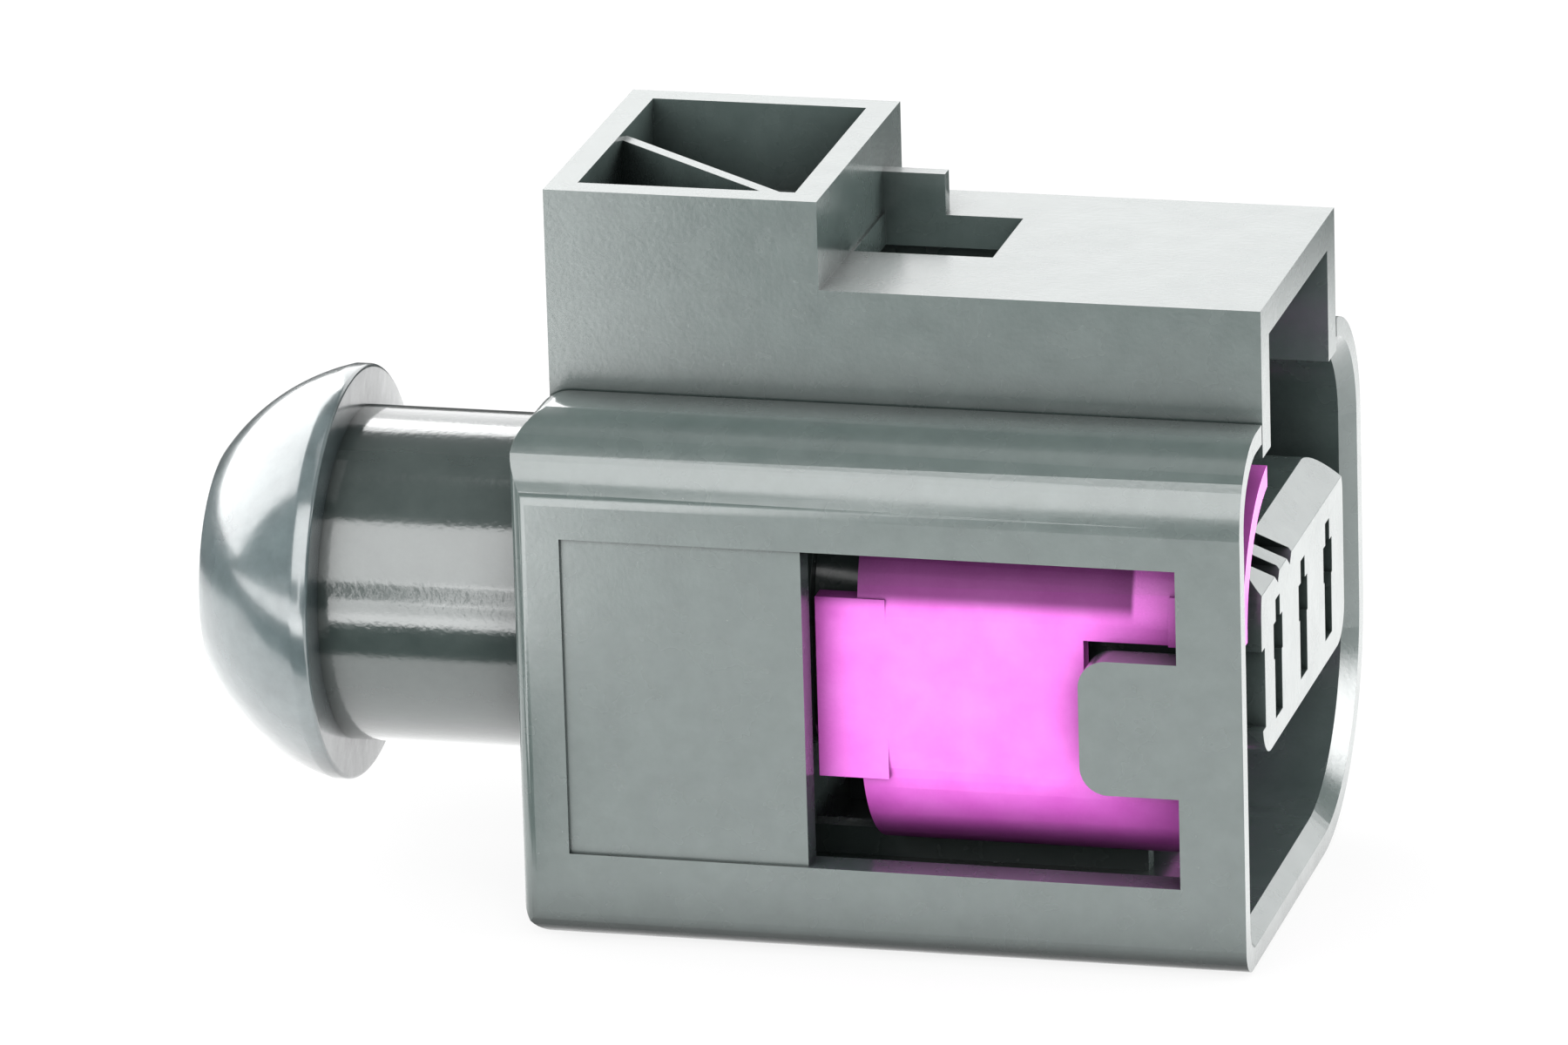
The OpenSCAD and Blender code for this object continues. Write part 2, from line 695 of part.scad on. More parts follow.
module contact_body(i) {
    strip_z = contact_z - neck_crimp_r - wing_t;
    strip_back = wing_x - wing_l;
    color(tin) translate([0, (i - 2) * pitch, 0]) union() {
        difference() {
            translate([crimp_x, -contact_w / 2, contact_z - contact_h / 2])
                cube([contact_l, contact_w, contact_h]);
            translate([crimp_x - over, -contact_w / 2 + sheet_t, contact_z - contact_h / 2 + sheet_t])
                cube([contact_l + 2 * over, contact_w - 2 * sheet_t, contact_h - 2 * sheet_t]);
        }
        // riser from the box's floor to the strip that carries the crimps
        translate([crimp_x - sheet_t, -strip_w / 2, contact_z - contact_h / 2])
            cube([2 * sheet_t, strip_w, contact_h / 2 - neck_crimp_r]);
        translate([strip_back, -strip_w / 2, strip_z])
            cube([crimp_x - strip_back + sheet_t, strip_w, wing_t]);
        difference() {
            crimp_shell(crimp_x - crimp_gap - crimp_l, neck_crimp_r, wing_t, crimp_l);
            translate([crimp_x - crimp_gap - crimp_l - over, -contact_w, contact_z + crimp_lip])
                cube([crimp_l + 2 * over, 2 * contact_w, contact_h]);
        }
        crimp_shell(strip_back, neck_crimp_r, wing_t, wing_l);
    }
}

// Spring sleeve round the contact's box, with the lance that locks it in the carrier
module contact_spring(i) {
    back = box_x - spring_back - spring_l;
    top = contact_z + contact_h / 2;
    color(steel) translate([0, (i - 2) * pitch, 0]) union() {
        difference() {
            translate([back, -contact_w / 2 - spring_t, contact_z - contact_h / 2 - spring_t])
                cube([spring_l, contact_w + 2 * spring_t, contact_h + 2 * spring_t]);
            translate([back - over, -contact_w / 2, contact_z - contact_h / 2])
                cube([spring_l + 2 * over, contact_w, contact_h]);
        }
        along_y(-contact_w / 4, contact_w / 2)
            polygon([[lance_x, top], [lance_x, top + spring_t],
                     [lance_x - lance_l, top + spring_t + lance_rise],
                     [lance_x - lance_l, top + lance_rise - spring_t / 2],
                     [lance_x - 2 * spring_t, top]]);
    }
}

// Ribbed seal for one wire, its neck held in the contact's wings
module wire_seal(i) {
    ribs_l = (rib_count - 1) * rib_step + rib_l;
    color(seal_black) translate([seal_x, (i - 2) * pitch, contact_z]) rotate([0, -90, 0]) rotate_extrude() {
        translate([wire_r, -wing_l - seal_step])
            square([neck_crimp_r - seal_gap - wire_r, wing_l + seal_step + merge]);
        translate([wire_r, 0]) square([seal_core_t, ribs_l]);
        for (k = [0:rib_count - 1])
            translate([wire_r, k * rib_step]) square([seal_bore_r - seal_gap - wire_r, rib_l]);
    }
}

housing();
wire_exit_cap();
contact_carrier();
interface_seal();
secondary_lock();
latch_lever();
contact_body(1);  // contact_body_1
contact_body(2);  // contact_body_2
contact_body(3);  // contact_body_3
contact_spring(1);  // contact_spring_1
contact_spring(2);  // contact_spring_2
contact_spring(3);  // contact_spring_3
wire_seal(1);  // wire_seal_1
wire_seal(2);  // wire_seal_2
wire_seal(3);  // wire_seal_3
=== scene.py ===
import json
import math

import bmesh
import bpy
import numpy as np
from mathutils import Matrix, Vector


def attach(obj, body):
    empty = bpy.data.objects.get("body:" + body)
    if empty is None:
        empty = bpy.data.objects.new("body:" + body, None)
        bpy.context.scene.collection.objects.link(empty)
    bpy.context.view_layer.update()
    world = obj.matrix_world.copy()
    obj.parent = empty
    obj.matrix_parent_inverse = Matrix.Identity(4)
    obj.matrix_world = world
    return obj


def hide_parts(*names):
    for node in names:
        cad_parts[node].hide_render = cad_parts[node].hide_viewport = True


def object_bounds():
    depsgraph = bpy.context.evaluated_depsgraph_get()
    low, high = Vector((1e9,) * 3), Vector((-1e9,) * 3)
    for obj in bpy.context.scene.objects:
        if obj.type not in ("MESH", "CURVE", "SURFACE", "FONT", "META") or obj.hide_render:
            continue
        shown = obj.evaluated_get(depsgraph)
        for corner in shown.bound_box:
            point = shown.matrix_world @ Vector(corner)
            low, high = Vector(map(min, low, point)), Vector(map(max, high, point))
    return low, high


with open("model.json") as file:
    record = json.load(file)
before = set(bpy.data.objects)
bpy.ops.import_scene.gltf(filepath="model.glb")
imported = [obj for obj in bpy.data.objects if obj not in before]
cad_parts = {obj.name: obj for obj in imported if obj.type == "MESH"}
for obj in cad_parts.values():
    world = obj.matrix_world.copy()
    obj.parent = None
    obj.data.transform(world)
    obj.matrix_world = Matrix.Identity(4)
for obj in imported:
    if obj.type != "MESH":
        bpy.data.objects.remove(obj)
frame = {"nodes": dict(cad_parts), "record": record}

mm = 0.001
doubleReach = 1e-7                                # places of a surface closer than this are one, in m
cadLow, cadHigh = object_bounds()
nodes = frame["nodes"]
slotOf = {part["node"]: part["material_slot"] for part in frame["record"]["subparts"]}


def gridMesh(name, points, closedAlong=False, closedAround=False):
    # points[i, j] is a grid of places; each cell of the grid becomes one quad
    rows, columns = points.shape[:2]
    i = np.arange(rows if closedAlong else rows - 1)[:, None]
    j = np.arange(columns if closedAround else columns - 1)[None, :]
    iNext, jNext = (i + 1) % rows, (j + 1) % columns
    quads = np.stack([i * columns + j, i * columns + jNext,
                      iNext * columns + jNext, iNext * columns + j], axis=-1)
    mesh = bpy.data.meshes.new(name)
    mesh.from_pydata(points.reshape(-1, 3), [], quads.reshape(-1, 4))
    piece = bpy.data.objects.new(name, mesh)
    bpy.context.scene.collection.objects.link(piece)
    return piece


def faceOutwards(piece):
    # merges doubles and turns every face outwards
    shape = bmesh.new()
    shape.from_mesh(piece.data)
    bmesh.ops.remove_doubles(shape, verts=shape.verts, dist=doubleReach)
    bmesh.ops.recalc_face_normals(shape, faces=shape.faces)
    shape.to_mesh(piece.data)
    shape.free()


def smoothByAngle(piece, degrees):
    # smooth shading, broken wherever two faces meet at more than the angle
    piece.data.polygons.foreach_set("use_smooth", np.ones(len(piece.data.polygons), bool))
    piece.data.set_sharp_from_angle(angle=math.radians(degrees))


def arc(centre, radius, first, last, steps):
    # points (t, r) on a circle round the centre, from the first angle to the last, in degrees from t
    angle = np.radians(np.linspace(first, last, steps))
    return np.stack([centre[0] + radius * np.cos(angle), centre[1] + radius * np.sin(angle)], axis=1)


def revolved(name, profile, centre, steps):
    # a closed profile of points (t, r) in mm goes round the axis through the centre, in m:
    # x = centre.x - t, y = centre.y + r cos a, z = centre.z + r sin a
    angle = np.linspace(0, 2 * np.pi, steps, endpoint=False)[None, :]
    t, r = profile[:, :1] * mm, profile[:, 1:] * mm
    points = np.stack([centre[0] - t + 0 * angle, centre[1] + r * np.cos(angle),
                       centre[2] + r * np.sin(angle)], axis=-1)
    piece = gridMesh(name, points, closedAlong=True, closedAround=True)
    faceOutwards(piece)
    return piece


# how a copy of a CAD node is joined up, shaded and rounded; no rounding of the CAD model has a facet
# wider than facetWidth; angles in degrees
joining = {"mergeReach": 0.002 * mm, "flatAngle": 0.6, "smoothAngle": 30, "roundedAngle": 28,
           "facetWidth": 0.6 * mm, "facetSides": 4}


def softEdged(node, width, segments):
    # a merged copy of the CAD node whose flat faces are joined and whose edges are rounded
    piece = bpy.data.objects.new(node + "_moulding", nodes[node].data.copy())
    bpy.context.scene.collection.objects.link(piece)
    shape = bmesh.new()
    shape.from_mesh(piece.data)
    bmesh.ops.remove_doubles(shape, verts=shape.verts, dist=joining["mergeReach"])
    bmesh.ops.dissolve_limit(shape, angle_limit=math.radians(joining["flatAngle"]), verts=shape.verts,
                             edges=shape.edges)
    shape.to_mesh(piece.data)
    shape.free()
    smoothByAngle(piece, joining["smoothAngle"])
    places = piece.data.vertices
    for face in piece.data.polygons:
        # a face joined from many, or wider than a facet of a rounding, is flat and is shaded flat
        sides = [(places[a].co - places[b].co).length for a, b in face.edge_keys]
        face.use_smooth = (len(sides) <= joining["facetSides"]
                           and face.area / max(sides) < joining["facetWidth"])
    edge = piece.modifiers.new("edge", "BEVEL")
    edge.width, edge.segments = width, segments
    edge.limit_method, edge.angle_limit = "ANGLE", math.radians(joining["roundedAngle"])
    edge.use_clamp_overlap, edge.harden_normals = True, True
    edge.miter_outer = "MITER_ARC"
    return piece


def leadIn(piece, plan):
    # chamfers the inner edge of the mouth: the edges on the front plane, below the channel,
    # where a face meets it that looks towards the mouth's middle
    shape = bmesh.new()
    shape.from_mesh(piece.data)
    front = max(vertex.co.x for vertex in shape.verts)
    inside = []
    for edge in shape.edges:
        middle = (edge.verts[0].co + edge.verts[1].co) / 2
        inwards = Vector((front, *plan["middle"])) - middle
        onFront = all(abs(vertex.co.x - front) < plan["planeReach"] for vertex in edge.verts)
        facing = any(face.normal.dot(inwards) > plan["facing"] * inwards.length
                     for face in edge.link_faces)
        if onFront and middle.z < plan["below"] and facing:
            inside.append(edge)
    bmesh.ops.bevel(shape, geom=inside, offset=plan["width"], segments=1, affect="EDGES")
    shape.to_mesh(piece.data)
    shape.free()
    print("lead-in edges:", len(inside))


class Nodes:
    # shorthand for building one material's node tree
    def __init__(self, name):
        self.material = bpy.data.materials.new(name)
        self.material.use_nodes = True
        self.tree = self.material.node_tree
        self.shader = self.tree.nodes["Principled BSDF"]

    def add(self, kind, **settings):
        # a setting is a property of the node, or else the value of one of its sockets
        node = self.tree.nodes.new(kind)
        for key, value in settings.items():
            if hasattr(node, key):
                setattr(node, key, value)
            else:
                node.inputs[key.replace("_", " ")].default_value = value
        return node

    def join(self, source, output, target, socket):
        self.tree.links.new(source.outputs[output], target.inputs[socket])


def noise(kit, scale, detail=4, roughness=0.6):
    # noise on Object coordinates; scale is in waves a metre
    place = kit.add("ShaderNodeTexCoord")
    wave = kit.add("ShaderNodeTexNoise", Scale=scale, Detail=detail, Roughness=roughness)
    kit.join(place, "Object", wave, "Vector")
    return wave


noiseSpan = {"From_Min": 0.3, "From_Max": 0.7}    # where most of a noise's values lie


def spread(kit, wave, low, high):
    # maps noise from its usual span onto low to high
    ramp = kit.add("ShaderNodeMapRange", To_Min=low, To_Max=high, **noiseSpan)
    kit.join(wave, "Fac", ramp, "Value")
    return ramp


def toneBetween(kit, wave, look):
    # goes from the look's dark tone to its light one
    tone = kit.add("ShaderNodeMix", data_type="RGBA")
    tone.inputs["A"].default_value = (*look["dark"], 1)
    tone.inputs["B"].default_value = (*look["light"], 1)
    kit.join(spread(kit, wave, 0, 1), "Result", tone, "Factor")
    return tone


def product(kit, first, second):
    # the product of a node's first output and either another's or a plain number
    result = kit.add("ShaderNodeMath", operation="MULTIPLY")
    kit.join(first, 0, result, 0)
    if isinstance(second, bpy.types.Node):
        kit.join(second, 0, result, 1)
    else:
        result.inputs[1].default_value = second
    return result


def covered(kit, edges):
    # 1 within the edges and 0 outside; each is a direction in Object coordinates and the two
    # distances its step runs between
    place = kit.add("ShaderNodeTexCoord")
    mask = None
    for direction, low, high in edges:
        along = kit.add("ShaderNodeVectorMath", operation="DOT_PRODUCT")
        kit.join(place, "Object", along, 0)
        along.inputs[1].default_value = direction
        step = kit.add("ShaderNodeMapRange", interpolation_type="SMOOTHSTEP",
                       From_Min=low, From_Max=high)
        kit.join(along, "Value", step, "Value")
        mask = product(kit, mask, step) if mask else step
    return mask


def within(kit, mask, level):
    # the level where the mask is 1, and 1 where it is 0
    result = kit.add("ShaderNodeMath", operation="MULTIPLY_ADD")
    kit.join(mask, 0, result, 0)
    result.inputs[1].default_value = level - 1
    result.inputs[2].default_value = 1
    return result


paintedShadeSamples = 6


def mouldedPlastic(name, look):
    # two tones mottled by coarse noise, roughness by middle noise, spark-eroded grain as bump;
    # painted shade: recesses within the look's reach, found by ambient occlusion, take a darker tone
    # and less gloss; a zone of the piece takes its own share of tone, and of gloss or roughness where
    # the look gives one
    kit = Nodes(name)
    # painted shade: ambient occlusion darkens the tone and lessens the gloss in recesses
    paintedShadeOcclusion = kit.add("ShaderNodeAmbientOcclusion", samples=paintedShadeSamples, Distance=look["paintedShadeReach"])
    paintedShadeAndTone = kit.add("ShaderNodeMapRange", From_Min=look["paintedShadeSpan"][0], From_Max=look["paintedShadeSpan"][1],
                    To_Min=look["paintedShadeLevel"], To_Max=1)
    kit.join(paintedShadeOcclusion, "AO", paintedShadeAndTone, "Value")
    gloss = paintedShadeAndTone
    rough = spread(kit, noise(kit, look["polishScale"], detail=3), *look["roughness"])
    coatRoughness = look["coatRoughness"]
    # on the lock the zone is a painted shadow: its tone and gloss are darkened where the side window's
    # top edge would shade the sleeve
    if "zone" in look:
        zone = covered(kit, look["zone"])
        if "zoneRoughness" in look:
            polish = within(kit, zone, look["zoneRoughness"])
            rough = product(kit, rough, polish)
            coatRoughness = product(kit, polish, coatRoughness)
        if "zoneGloss" in look:
            gloss = product(kit, paintedShadeAndTone, within(kit, zone, look["zoneGloss"]))
        paintedShadeAndTone = product(kit, paintedShadeAndTone, within(kit, zone, look["zoneToneAndPaintedShadow"]))
    tone = toneBetween(kit, noise(kit, look["mottleScale"], detail=5), look)
    shade = kit.add("ShaderNodeVectorMath", operation="SCALE")
    kit.join(tone, "Result", shade, 0)
    kit.join(paintedShadeAndTone, 0, shade, "Scale")
    for socket, value in (("Base Color", shade), ("Roughness", rough),
                          ("Coat Roughness", coatRoughness),
                          ("Specular IOR Level", product(kit, gloss, look["specular"])),
                          ("Coat Weight", product(kit, gloss, look["coat"])),
                          ("Coat IOR", look["coatIor"])):
        if isinstance(value, bpy.types.Node):
            kit.join(value, 0, kit.shader, socket)
        else:
            kit.shader.inputs[socket].default_value = value
    grain = noise(kit, look["grainScale"], detail=2, roughness=0.5)
    bump = kit.add("ShaderNodeBump", Strength=look["grain"], Distance=look["grainDepth"])
    kit.join(grain, "Fac", bump, "Height")
    kit.join(bump, "Normal", kit.shader, "Normal")
    return kit.material


def sheetMetal(name, look):
    # metal whose roughness and tone follow noise drawn out along the rolling direction
    kit = Nodes(name)
    place = kit.add("ShaderNodeTexCoord")
    stretch = kit.add("ShaderNodeMapping")
    stretch.inputs["Scale"].default_value = look["rolling"]
    kit.join(place, "Object", stretch, "Vector")
    lines = kit.add("ShaderNodeTexNoise", Scale=1.0, Detail=4)
    kit.join(stretch, "Vector", lines, "Vector")
    kit.join(toneBetween(kit, lines, look), "Result", kit.shader, "Base Color")
    kit.join(spread(kit, lines, *look["roughness"]), "Result", kit.shader, "Roughness")
    kit.shader.inputs["Metallic"].default_value = 1.0
    return kit.material


# tones are linear, scales in waves a metre, reaches, depths and the zones' edges in m
# the painted shade keys set the painted shade in recesses: how far occlusion looks, the span of it that
# is mapped, and the darkest level
housingLook = {
    "dark": (0.066, 0.09, 0.085), "light": (0.083, 0.11, 0.104), "mottleScale": 900,
    "polishScale": 500, "roughness": (0.22, 0.3), "grainScale": 5200, "grain": 0.22,
    "grainDepth": 0.00003, "specular": 0.9, "coat": 0.7, "coatRoughness": 0.18, "coatIor": 1.65,
    "paintedShadeReach": 4 * mm, "paintedShadeSpan": (0.35, 0.85), "paintedShadeLevel": 0.2,
    "zone": (((-1, 0, 0), 13.05 * mm, 13.15 * mm),),
    "zoneToneAndPaintedShadow": 0.6, "zoneRoughness": 0.52,
}
capLook = {
    "dark": (0.07, 0.095, 0.1), "light": (0.115, 0.15, 0.155), "mottleScale": 700,
    "polishScale": 450, "roughness": (0.16, 0.28), "grainScale": 900, "grain": 0.3,
    "grainDepth": 0.0001, "specular": 1, "coat": 1, "coatRoughness": 0.14, "coatIor": 1.7,
    "paintedShadeReach": 6 * mm, "paintedShadeSpan": (0.4, 0.9), "paintedShadeLevel": 0.2,
}
lockLook = {
    "dark": (0.85, 0.14, 0.76), "light": (0.94, 0.2, 0.86), "mottleScale": 600,
    "polishScale": 400, "roughness": (0.38, 0.5), "grainScale": 4200, "grain": 0.15,
    "grainDepth": 0.00002, "specular": 0.5, "coat": 0.5, "coatRoughness": 0.4, "coatIor": 1.6,
    "paintedShadeReach": 3.2 * mm, "paintedShadeSpan": (0.45, 0.9), "paintedShadeLevel": 0.2,
    # painted shadow: the sleeve's upper band, above about 12.9 mm and behind the front collar, is
    # darkened and less glossy
    "zone": (((0, 0, 1), 12.2 * mm, 12.9 * mm), ((-1, 0, 0), -8.9 * mm, -8.7 * mm)),
    "zoneToneAndPaintedShadow": 0.24, "zoneGloss": 0.25,
}
sealLook = {
    "dark": (0.02, 0.02, 0.021), "light": (0.035, 0.035, 0.037), "mottleScale": 900,
    "polishScale": 700, "roughness": (0.35, 0.5), "grainScale": 3000, "grain": 0.2,
    "grainDepth": 0.00002, "specular": 0.5, "coat": 0.2, "coatRoughness": 0.3, "coatIor": 1.5,
    "paintedShadeReach": 2 * mm, "paintedShadeSpan": (0.2, 0.8), "paintedShadeLevel": 0.5,
}
tinLook = {"dark": (0.62, 0.6, 0.56), "light": (0.75, 0.74, 0.7), "roughness": (0.25, 0.45),
           "rolling": (300, 6000, 6000)}
springLook = {"dark": (0.42, 0.43, 0.45), "light": (0.55, 0.56, 0.58), "roughness": (0.2, 0.35),
              "rolling": (400, 7000, 7000)}
finishes = {
    "housing_plastic": mouldedPlastic("housingPlastic", housingLook),
    "cap_plastic": mouldedPlastic("capPlastic", capLook),
    "lock_plastic": mouldedPlastic("lockPlastic", lockLook),
    "seal_rubber": mouldedPlastic("sealRubber", sealLook),
    "contact_tin": sheetMetal("contactTin", tinLook),
    "spring_steel": sheetMetal("springSteel", springLook),
}
print("finishes made:", ", ".join(finishes))


def dress(piece, node, body):
    # takes the node's place with its finish, and rides on the body
    piece.data.materials.clear()
    piece.data.materials.append(finishes[slotOf[node]])
    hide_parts(node)
    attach(piece, body)


# the rounding's width and segments, and the body that the piece rides on
mouldings = {
    "housing": {"width": 0.12 * mm, "segments": 3, "body": "plug"},
    "contact_carrier": {"width": 0.1 * mm, "segments": 2, "body": "plug"},
    "latch_lever": {"width": 0.16 * mm, "segments": 3, "body": "latch"},
    "secondary_lock": {"width": 0.12 * mm, "segments": 3, "body": "lock"},
}
# (y, z) of the mouth's middle, the height of the hood's inner roof, how near to the front plane an
# edge lies, and the least cosine between a face's normal and the way to the middle
mouth = {"width": 0.55 * mm, "middle": (0, 9.5 * mm), "below": 17.8 * mm,
         "planeReach": 0.001 * mm, "facing": 0.3}
for node, edge in mouldings.items():
    moulding = softEdged(node, edge["width"], edge["segments"])
    if node == "housing":
        leadIn(moulding, mouth)
    dress(moulding, node, edge["body"])
print("mouldings made:", ", ".join(mouldings))

# the centre in m, other lengths in mm; t runs from the neck's end towards the nose
cap = {
    "centre": (-21.3 * mm, 0, 9.7 * mm), "rim": 7.45, "land": 0.55, "rimRound": 0.14, "length": 4.9,
    "nose": 4.4, "noseRound": 0.6, "bore": 3.5, "boreRound": 0.2, "stem": 3.2, "stemRadius": 4.68,
    "stemBore": 3.8, "stemRound": 0.2, "rearStep": 1, "roundSteps": 5, "noseSteps": 8,
    "domeSteps": 40, "steps": 144, "smoothAngle": 40,
}


def capProfile(cap):
    # bore, nose with a rounded edge, spherical dome, straight land, rear face and stem, in turn;
    # the sphere runs through the land's front edge and through the nose's sharp corner
    back = ((cap["rim"] ** 2 + cap["land"] ** 2 - cap["nose"] ** 2 - cap["length"] ** 2)
            / (2 * (cap["length"] - cap["land"])))
    ball = math.hypot(cap["rim"], cap["land"] + back)
    roundT = cap["length"] - cap["noseRound"]
    roundR = math.sqrt((ball - cap["noseRound"]) ** 2 - (roundT + back) ** 2)
    meet = math.degrees(math.atan2(roundR, roundT + back))
    foot = math.degrees(math.atan2(cap["rim"], cap["land"] + back))
    lip, edge, stem = cap["boreRound"], cap["rimRound"], cap["stemRound"]
    steps = cap["roundSteps"]
    return np.concatenate([
        arc((stem - cap["stem"], cap["stemBore"] + stem), stem, 180, 270, steps),
        [[0, cap["stemBore"]], [0, cap["bore"]]],
        arc((cap["length"] - lip, cap["bore"] + lip), lip, -90, 0, steps),
        arc((roundT, roundR), cap["noseRound"], 0, meet, cap["noseSteps"]),
        arc((-back, 0), ball, meet, foot, cap["domeSteps"])[1:],
        arc((edge, cap["rim"] - edge), edge, 90, 180, steps),
        [[0, cap["stemRadius"] + cap["rearStep"]], [0, cap["stemRadius"]]],
        arc((stem - cap["stem"], cap["stemRadius"] - stem), stem, 90, 180, steps),
    ])


domedCap = revolved("domedCap", capProfile(cap), cap["centre"], cap["steps"])
smoothByAngle(domedCap, cap["smoothAngle"])
dress(domedCap, "wire_exit_cap", "plug")
print("wire exit cap made")

# x, z and the pitch in m, other lengths in mm; t runs from the first rib rearwards
wireSeal = {
    "x": -4.1 * mm, "z": 9.35 * mm, "pitch": 4.2 * mm, "bore": 0.7, "neck": 0.98, "neckLength": 2.0,
    "core": 1.2, "rib": 1.43, "ribLength": 1.1, "ribStep": 1.75, "ribs": 3, "ribSwing": 1.1,
    "samples": 73, "steps": 64, "smoothAngle": 50,
}


def sealProfile(seal):
    # a neck, then ribs whose height follows a cosine cut off at 0 and 1, then back through the bore
    length = (seal["ribs"] - 1) * seal["ribStep"] + seal["ribLength"]
    t = np.linspace(0, length, seal["samples"])
    phase = (t - seal["ribLength"] / 2) / seal["ribStep"]
    bump = np.clip(0.5 + seal["ribSwing"] * np.cos(2 * np.pi * phase), 0, 1)
    ribs = np.stack([t, seal["core"] + (seal["rib"] - seal["core"]) * bump], axis=1)
    neck = [[-seal["neckLength"], seal["bore"]], [-seal["neckLength"], seal["neck"]], [0, seal["neck"]]]
    return np.concatenate([neck, ribs, [[length, seal["bore"]]]])


for number in (1, 2, 3):
    centre = (wireSeal["x"], (number - 2) * wireSeal["pitch"], wireSeal["z"])
    seal = revolved(f"wireSeal{number}", sealProfile(wireSeal), centre, wireSeal["steps"])
    smoothByAngle(seal, wireSeal["smoothAngle"])
    dress(seal, f"wire_seal_{number}", "plug")
print("wire seals made")

# lengths in mm; the section is the carrier's own, grown by the profile's height
ring = {
    "x": -0.9, "length": 4.0, "inner": -0.48, "valley": 0.15, "lip": 0.45, "lips": 3,
    "halfWidth": 6.9, "foot": 6.9, "top": 14.0, "bottomRadius": 1.3, "topRadius": 1.8,
    "samples": 61, "cornerSteps": 12, "smoothAngle": 50,
}


def sectionLoop(ring, grow):
    # the rounded rectangle grown by each height: four arcs whose radii grow with it; gives (y, z)
    angle = np.radians(np.linspace(0, 90, ring["cornerSteps"]))[None, :]
    corners = [(1, 1, "topRadius", 0), (-1, 1, "topRadius", 90),
               (-1, -1, "bottomRadius", 180), (1, -1, "bottomRadius", 270)]
    loops = []
    for sideY, sideZ, radius, first in corners:
        turn = angle + math.radians(first)
        y = sideY * (ring["halfWidth"] - ring[radius]) + (ring[radius] + grow) * np.cos(turn)
        z = (ring["top"] - ring[radius] if sideZ > 0 else ring["foot"] + ring[radius])
        loops.append(np.stack([y, z + (ring[radius] + grow) * np.sin(turn)], axis=-1))
    return np.concatenate(loops, axis=1)


def ringSeal(name, ring):
    # outside: lips as a cosine along the length; inside: straight, on the groove's floor
    x = np.linspace(0, ring["length"], ring["samples"])
    wave = 0.5 - 0.5 * np.cos(2 * np.pi * (ring["lips"] - 0.5) * x / ring["length"] + np.pi * 0.5)
    outer = ring["valley"] + (ring["lip"] - ring["valley"]) * wave
    along = np.concatenate([x, x[::-1]]) + ring["x"]
    height = np.concatenate([outer, np.full(len(x), ring["inner"])])[:, None]
    section = sectionLoop(ring, height)
    place = np.broadcast_to(along[:, None, None], section.shape[:2] + (1,))
    points = np.concatenate([place, section], axis=-1)
    piece = gridMesh(name, points * mm, closedAlong=True, closedAround=True)
    faceOutwards(piece)
    return piece


lipSeal = ringSeal("lipSeal", ring)
smoothByAngle(lipSeal, ring["smoothAngle"])
dress(lipSeal, "interface_seal", "plug")
print("interface seal made")

# the rounding's width and segments
contactEdges = {"contact_body": (0.04 * mm, 2), "contact_spring": (0.02 * mm, 1)}
for number in (1, 2, 3):
    for kind, (width, segments) in contactEdges.items():
        node = f"{kind}_{number}"
        dress(softEdged(node, width, segments), node, "plug")
print("contacts made")


def mixBy(kit, source, output, first, second):
    # the second shader takes the first one's place by what the source's output says
    mix = kit.add("ShaderNodeMixShader")
    kit.join(source, output, mix, "Fac")
    kit.join(first, 0, mix, 1)
    kit.join(second, 0, mix, 2)
    return mix


def paperFloor(name, look):
    # matt paper; plain white to the camera by a share; to gloss it glows as a painted reflection: a
    # bright patch round the object whose level falls from near to far between two radii, with a painted
    # shadow band and a painted glow band in front
    kit = Nodes(name)
    kit.shader.inputs["Base Color"].default_value = (*look["colour"], 1)
    kit.shader.inputs["Roughness"].default_value = look["roughness"]
    place = kit.add("ShaderNodeTexCoord")
    radius = kit.add("ShaderNodeVectorMath", operation="LENGTH")
    kit.join(place, "Object", radius, 0)
    fall = kit.add("ShaderNodeMapRange", interpolation_type="SMOOTHSTEP",
                   From_Min=look["patch"][0], From_Max=look["patch"][1],
                   To_Min=look["patchLevel"], To_Max=look["farLevel"])
    kit.join(radius, "Value", fall, "Value")
    # painted shadow: the band cuts the glow that gloss sees, where the object's shadow would lie
    lit = product(kit, fall, within(kit, covered(kit, look["paintedShadowBand"]), 0))
    total = kit.add("ShaderNodeMath", operation="MULTIPLY_ADD")
    kit.join(covered(kit, look["paintedGlowBand"]), 0, total, 0)
    total.inputs[1].default_value = look["paintedGlowLevel"]
    kit.join(lit, "Value", total, 2)
    # painted reflection: a glow that only gloss rays see
    patch = kit.add("ShaderNodeEmission", Color=(1, 1, 1, 1))
    kit.join(total, "Value", patch, "Strength")
    glow = kit.add("ShaderNodeEmission", Color=(1, 1, 1, 1))
    path = kit.add("ShaderNodeLightPath")
    white = kit.add("ShaderNodeMath", operation="MULTIPLY")
    kit.join(path, "Is Camera Ray", white, 0)
    white.inputs[1].default_value = look["whiteShare"]
    toGloss = mixBy(kit, path, "Is Glossy Ray", kit.shader, patch)
    toCamera = mixBy(kit, white, "Value", toGloss, glow)
    kit.join(toCamera, 0, kit.tree.nodes["Material Output"], "Surface")
    return kit.material


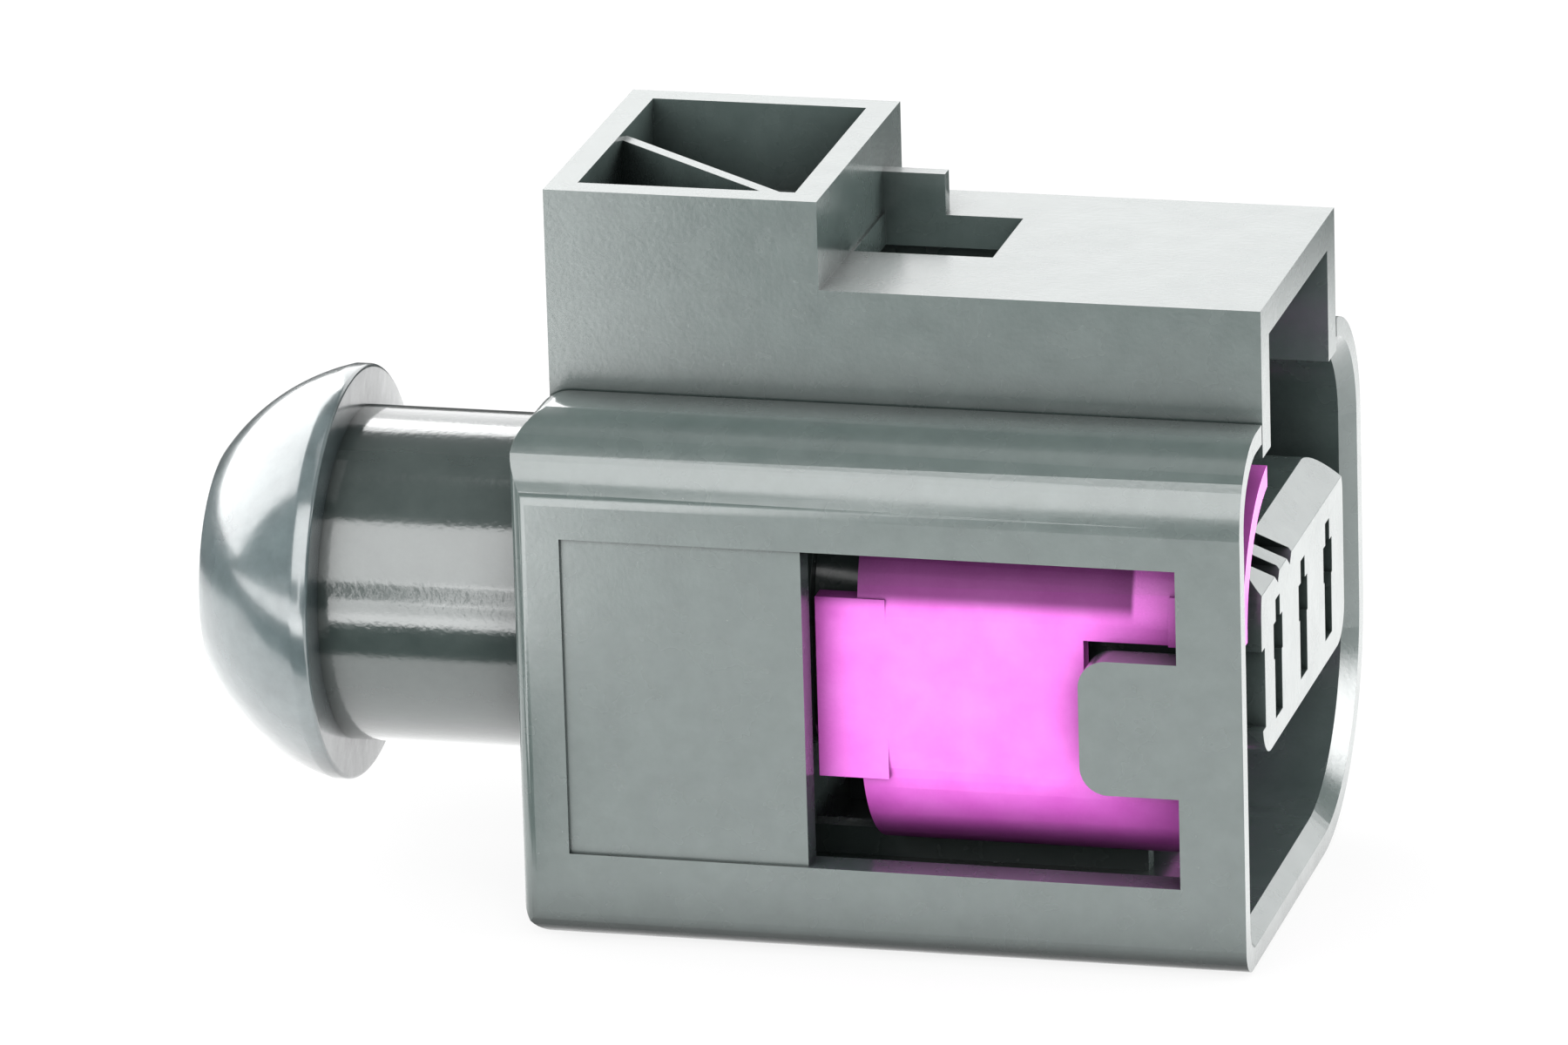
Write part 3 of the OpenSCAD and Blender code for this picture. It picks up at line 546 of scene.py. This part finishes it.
# the painted shadow band and the painted glow band lie in front of the neck, and only gloss shows them;
# both end at the same slanted line
paintedBandEdge = ((-1, 0.26, 0), 9.5 * mm, 11 * mm)
floorPlan = {
    "reach": 1.5, "gap": 0.1 * mm, "colour": (0.86, 0.86, 0.86), "roughness": 0.9, "whiteShare": 0.85,
    "patch": (60 * mm, 90 * mm), "patchLevel": 1.6, "farLevel": 0.1, "paintedGlowLevel": 3.5,
    "paintedShadowBand": (((0, -1, 0), 15 * mm, 17 * mm), ((0, 1, 0), -39 * mm, -37 * mm), paintedBandEdge),
    "paintedGlowBand": (((0, -1, 0), 37 * mm, 39 * mm), paintedBandEdge),
}
corner = np.array([[-1, -1, 0], [1, -1, 0], [-1, 1, 0], [1, 1, 0]], float).reshape(2, 2, 3)
floor = gridMesh("floor", corner * floorPlan["reach"] + [0, 0, cadLow.z - floorPlan["gap"]])
floor.data.materials.append(paperFloor("paper", floorPlan))

# the world's level for diffuse light, for gloss and for the camera; the later ray's level wins
sky = {"level": 0.4, "glossLevel": 0.2, "cameraLevel": 1.0}
world = bpy.data.worlds.new("studio")
bpy.context.scene.world = world
world.use_nodes = True
tree = world.node_tree
dome = tree.nodes["Background"]
dome.inputs["Color"].default_value = (1, 1, 1, 1)
path = tree.nodes.new("ShaderNodeLightPath")
level = sky["level"]
for ray, amount in (("Is Glossy Ray", sky["glossLevel"]), ("Is Camera Ray", sky["cameraLevel"])):
    choice = tree.nodes.new("ShaderNodeMix")
    tree.links.new(path.outputs[ray], choice.inputs[0])
    if hasattr(level, "is_linked"):
        tree.links.new(level, choice.inputs[2])
    else:
        choice.inputs[2].default_value = level
    choice.inputs[3].default_value = amount
    level = choice.outputs[0]
tree.links.new(level, dome.inputs["Strength"])

# angles in degrees and lengths in m, round the aim; radiance is what a mirror would show of the lamp
lamps = {
    "frontBox": {"azimuth": 0, "elevation": 32, "distance": 0.35, "size": (0.5, 0.27), "radiance": 3.5},
    "topBox": {"azimuth": 30, "elevation": 82, "distance": 0.35, "size": (0.2, 0.2), "radiance": 0.8},
    "backBox": {"azimuth": 180, "elevation": 24, "distance": 0.6, "size": (0.7, 0.4), "radiance": 1.8},
    "mouthBox": {"azimuth": 100, "elevation": 15, "distance": 0.4, "size": (0.28, 0.2), "radiance": 9},
    "neckBox": {"azimuth": -17, "elevation": 5, "distance": 0.3, "size": (0.0135, 0.075),
                "radiance": 5},
    "leftBox": {"azimuth": -118, "elevation": 28, "distance": 0.35, "size": (0.5, 0.3),
                "radiance": 4},
}
aim = Vector((0, 0, 11 * mm))                     # the middle of the body


def outward(azimuth, elevation):
    # the direction from the object at these angles; azimuth 0 is in front, on -Y, and 90 is on +X
    a, e = math.radians(azimuth), math.radians(elevation)
    return Vector((math.sin(a) * math.cos(e), -math.cos(a) * math.cos(e), math.sin(e)))


for name, lamp in lamps.items():
    light = bpy.data.lights.new(name, "AREA")
    light.shape = "RECTANGLE"
    light.size, light.size_y = lamp["size"]
    light.energy = lamp["radiance"] * math.pi * light.size * light.size_y
    holder = bpy.data.objects.new(name, light)
    away = outward(lamp["azimuth"], lamp["elevation"])
    holder.location = aim + away * lamp["distance"]
    holder.rotation_euler = away.to_track_quat("Z", "Y").to_euler()
    holder.visible_camera = False
    bpy.context.scene.collection.objects.link(holder)
print("lamps placed:", ", ".join(lamps))

# angles in degrees, lens and sensor in mm; the camera looks at the point, moved along its own right
# and up
shot = {"azimuth": 14.592, "elevation": 18.334, "roll": 1.668, "lens": 300, "sensor": 36,
        "clip": (0.01, 20), "frameWidth": 55.5 * mm, "point": (-4.8 * mm, 0, 12 * mm),
        "right": -0.925 * mm, "up": 0.4 * mm}
back = outward(shot["azimuth"], shot["elevation"])
heading = math.radians(shot["azimuth"])
along = Vector((math.cos(heading), math.sin(heading), 0))
rise = back.cross(along)
turn = math.radians(shot["roll"])
right = along * math.cos(turn) - rise * math.sin(turn)
up = along * math.sin(turn) + rise * math.cos(turn)
target = Vector(shot["point"]) + right * shot["right"] + up * shot["up"]
lens = bpy.data.cameras.new("camera")
lens.sensor_width, lens.lens = shot["sensor"], shot["lens"]
lens.clip_start, lens.clip_end = shot["clip"]
camera = bpy.data.objects.new("camera", lens)
seat = target + back * (shot["frameWidth"] * shot["lens"] / shot["sensor"])
camera.matrix_world = Matrix(((right.x, up.x, back.x, seat.x), (right.y, up.y, back.y, seat.y),
                              (right.z, up.z, back.z, seat.z), (0, 0, 0, 1)))
bpy.context.scene.collection.objects.link(camera)
bpy.context.scene.camera = camera
bpy.context.scene.view_settings.view_transform = "Standard"
print("camera set")
